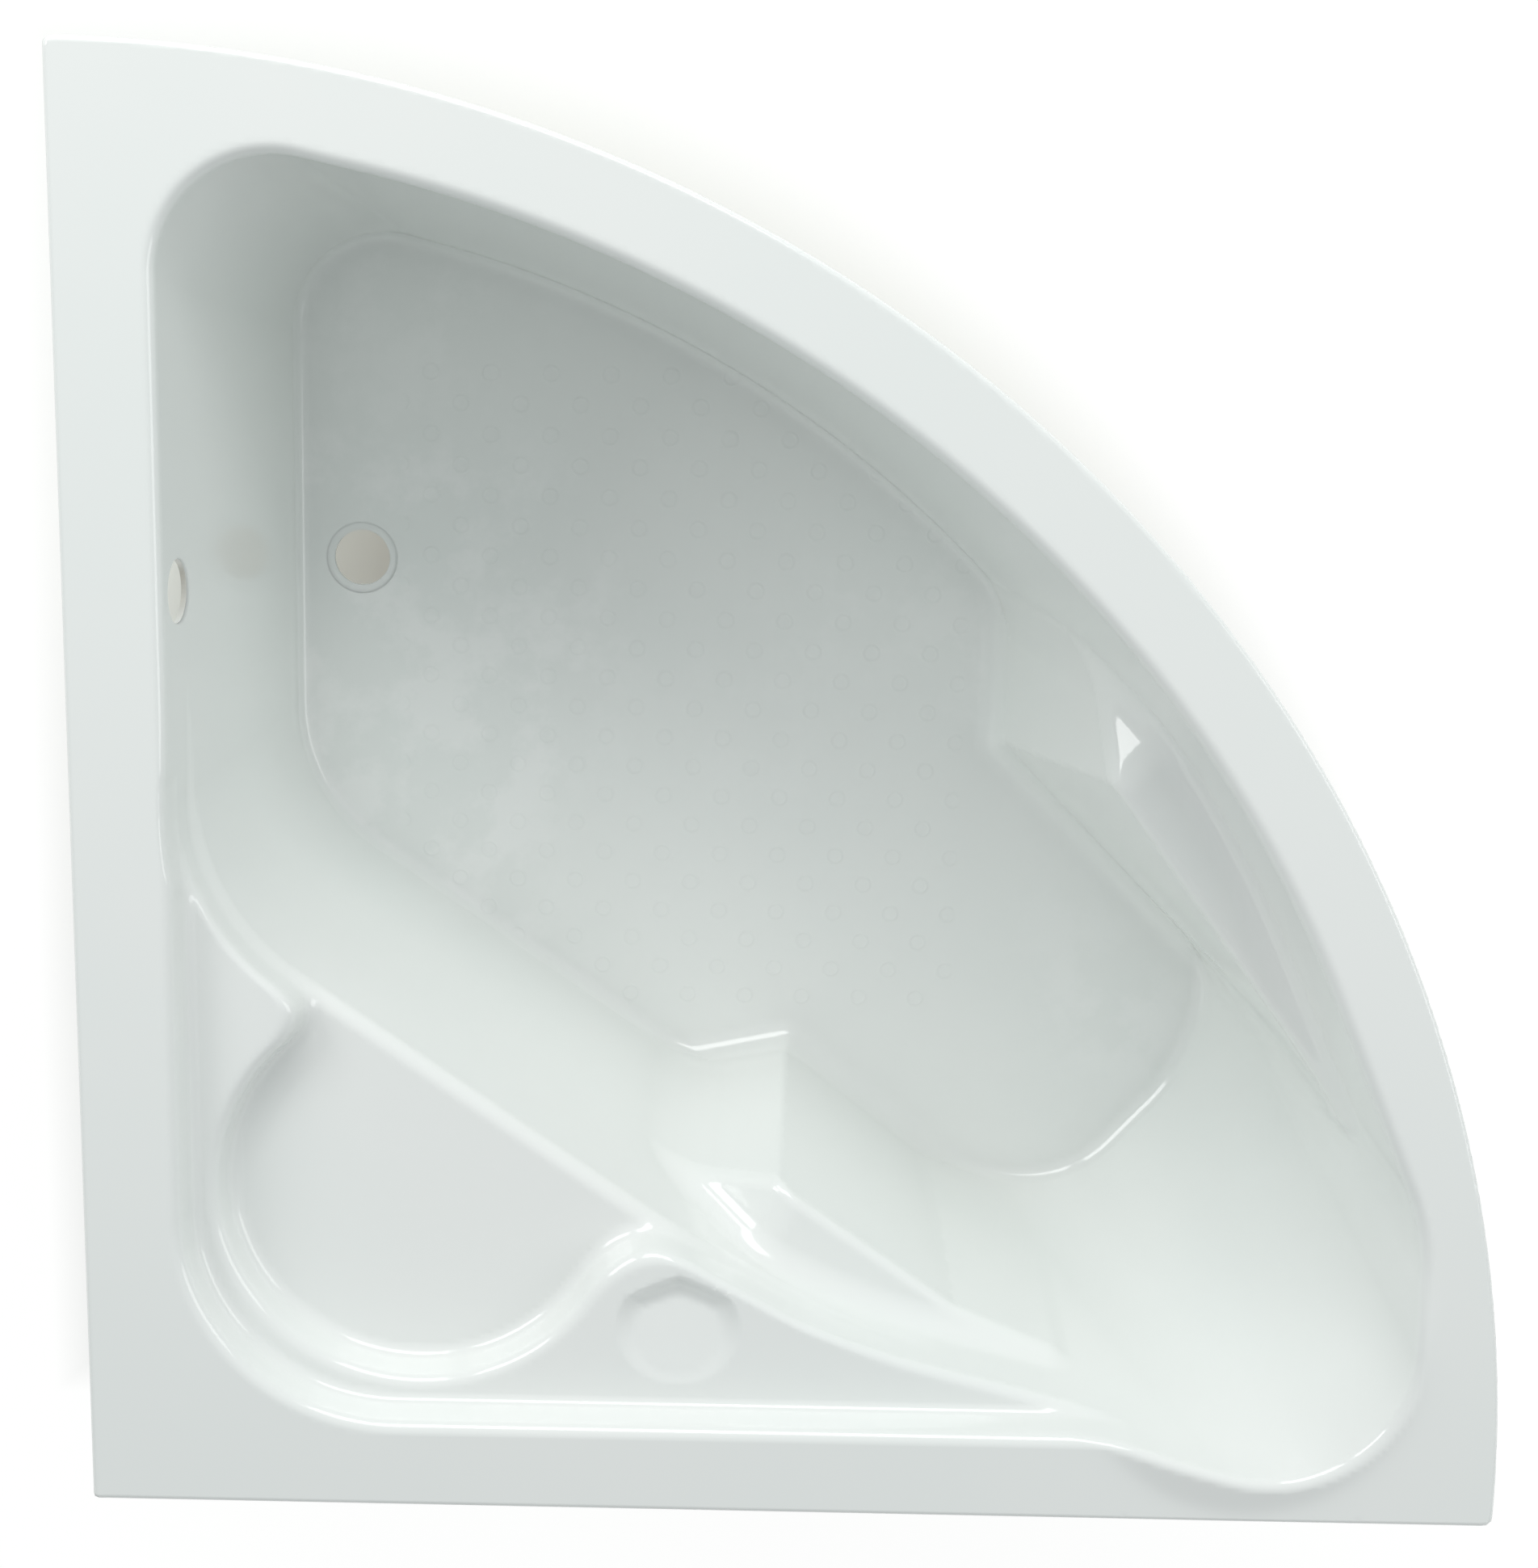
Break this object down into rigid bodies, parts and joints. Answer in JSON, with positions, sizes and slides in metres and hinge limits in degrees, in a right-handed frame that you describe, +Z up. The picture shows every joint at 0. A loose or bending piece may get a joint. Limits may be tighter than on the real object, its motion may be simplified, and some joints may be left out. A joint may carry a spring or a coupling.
{
  "type": "corner bathtub",
  "caption": "Quarter-round corner bathtub in white acrylic: handed basin with armrests, corner ledge, round shelf and soap dish, on adjustable feet.",
  "frame": {"origin": "centre of the bounding box in plan, on the room floor", "axes": "+Z up; the back wall side runs along +X at Y=0.6, the left wall side along +Y at X=-0.6, the bowed front faces +X and -Y"},
  "size_m": [1.2, 1.2, 0.5796],
  "materials": {
    "acrylic": "gloss",
    "glassfibre": "rough laminate",
    "chipboard": "raw",
    "plywood": "raw",
    "bar_paint": "satin grey",
    "black_plastic": "matte",
    "zinc": "zinc plated",
    "bracket_zinc": "zinc plated",
    "rod_zinc": "zinc plated thread",
    "pad_plastic": "matte"
  },
  "bodies": {
    "bath": {"acrylic_shell": "acrylic", "glassfibre_backing": "glassfibre", "baseboard": "chipboard", "back_batten": "plywood", "left_batten": "plywood", "corner_gusset": "plywood", "front_rail": "plywood", "leg_bar_foot_end": "bar_paint", "leg_bar_backrest": "bar_paint", "leg_bar_corner": "bar_paint", "bar_end_caps": "black_plastic", "bar_screws": "zinc", "weld_nuts": "zinc", "lock_nuts": "zinc", "wall_bracket_back_1": "bracket_zinc", "wall_bracket_back_2": "bracket_zinc", "wall_bracket_left_1": "bracket_zinc", "wall_bracket_left_2": "bracket_zinc", "bracket_screws": "zinc"},
    "foot_1": {"foot_rod_1": "rod_zinc", "foot_pad_1": "pad_plastic"},
    "foot_2": {"foot_rod_2": "rod_zinc", "foot_pad_2": "pad_plastic"},
    "foot_3": {"foot_rod_3": "rod_zinc", "foot_pad_3": "pad_plastic"},
    "foot_4": {"foot_rod_4": "rod_zinc", "foot_pad_4": "pad_plastic"},
    "foot_5": {"foot_rod_5": "rod_zinc", "foot_pad_5": "pad_plastic"}
  },
  "joints": [
    {"name": "foot_1_height", "type": "slide", "parent": "bath", "child": "foot_1", "axis": [0, 0, 1], "range_m": [-0.025, 0.015]},
    {"name": "foot_2_height", "type": "slide", "parent": "bath", "child": "foot_2", "axis": [0, 0, 1], "range_m": [-0.025, 0.015]},
    {"name": "foot_3_height", "type": "slide", "parent": "bath", "child": "foot_3", "axis": [0, 0, 1], "range_m": [-0.025, 0.015]},
    {"name": "foot_4_height", "type": "slide", "parent": "bath", "child": "foot_4", "axis": [0, 0, 1], "range_m": [-0.025, 0.015]},
    {"name": "foot_5_height", "type": "slide", "parent": "bath", "child": "foot_5", "axis": [0, 0, 1], "range_m": [-0.025, 0.015]}
  ]
}
